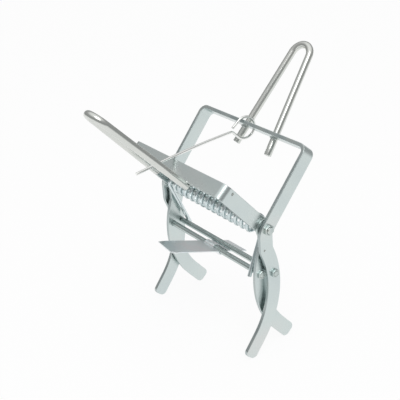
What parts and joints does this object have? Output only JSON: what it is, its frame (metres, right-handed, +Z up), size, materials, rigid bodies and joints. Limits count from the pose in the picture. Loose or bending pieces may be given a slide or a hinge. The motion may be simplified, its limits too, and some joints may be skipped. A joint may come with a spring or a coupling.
{
  "type": "mole trap",
  "caption": "Scissor-jaw mole trap of zinc-plated steel strap with curved claws, a coil torsion spring round the pivot, U-rod handles, a trigger plate and a wire latch pin.",
  "frame": {"origin": "on the ground below the middle of the pivot axle, level with the claw tips", "axes": "+X along the pivot axle to the right, +Y to the back, the side frame A leans to, +Z up"},
  "size_m": [0.1324, 0.2055, 0.2137],
  "materials": {
    "plated_strap": "smooth zinc plate, pale blue-grey",
    "plated_rod": "smooth zinc plate, pale grey",
    "plated_fittings": "zinc plate",
    "spring_wire": "bright plated spring wire",
    "plated_sheet": "smooth zinc plate",
    "bright_wire": "bright wire"
  },
  "bodies": {
    "frame_a": {"jaw_frame_a": "plated_strap", "handle_a": "plated_rod", "pivot_axle": "plated_rod", "pivot_nut_left": "plated_fittings", "pivot_nut_right": "plated_fittings", "spacer_washer_left": "plated_fittings", "spacer_washer_right": "plated_fittings", "cross_rod_a": "plated_rod", "rod_a_nut_left": "plated_fittings", "rod_a_nut_right": "plated_fittings", "torsion_spring": "spring_wire"},
    "frame_b": {"jaw_frame_b": "plated_strap", "handle_b": "plated_rod", "cross_rod_b": "plated_rod", "rod_b_nut_left": "plated_fittings", "rod_b_nut_right": "plated_fittings"},
    "trigger": {"trigger_plate": "plated_sheet"},
    "latch": {"latch_pin": "bright_wire"}
  },
  "joints": [
    {"name": "jaw_pivot", "type": "hinge", "parent": "frame_a", "child": "frame_b", "pos_m": [0, 0, 0.10721], "axis": [-1, 0, 0], "range_deg": [0, 50], "stiffness_Nm_per_rad": 2.1, "springref_deg": -60.16, "deforming": ["torsion_spring"]},
    {"name": "trigger_hinge", "type": "hinge", "parent": "frame_b", "child": "trigger", "pos_m": [0, -0.0045, 0.06801], "axis": [-1, 0, 0], "range_deg": [0, 50]},
    {"name": "latch_pin_hinge", "type": "hinge", "parent": "frame_a", "child": "latch", "pos_m": [0, 0.04205, 0.15457], "axis": [-1, 0, 0], "range_deg": [0, 21.5]}
  ],
  "couplings": [
    {"joint": "latch_pin_hinge", "follows": "jaw_pivot", "ratio": 0.42}
  ]
}
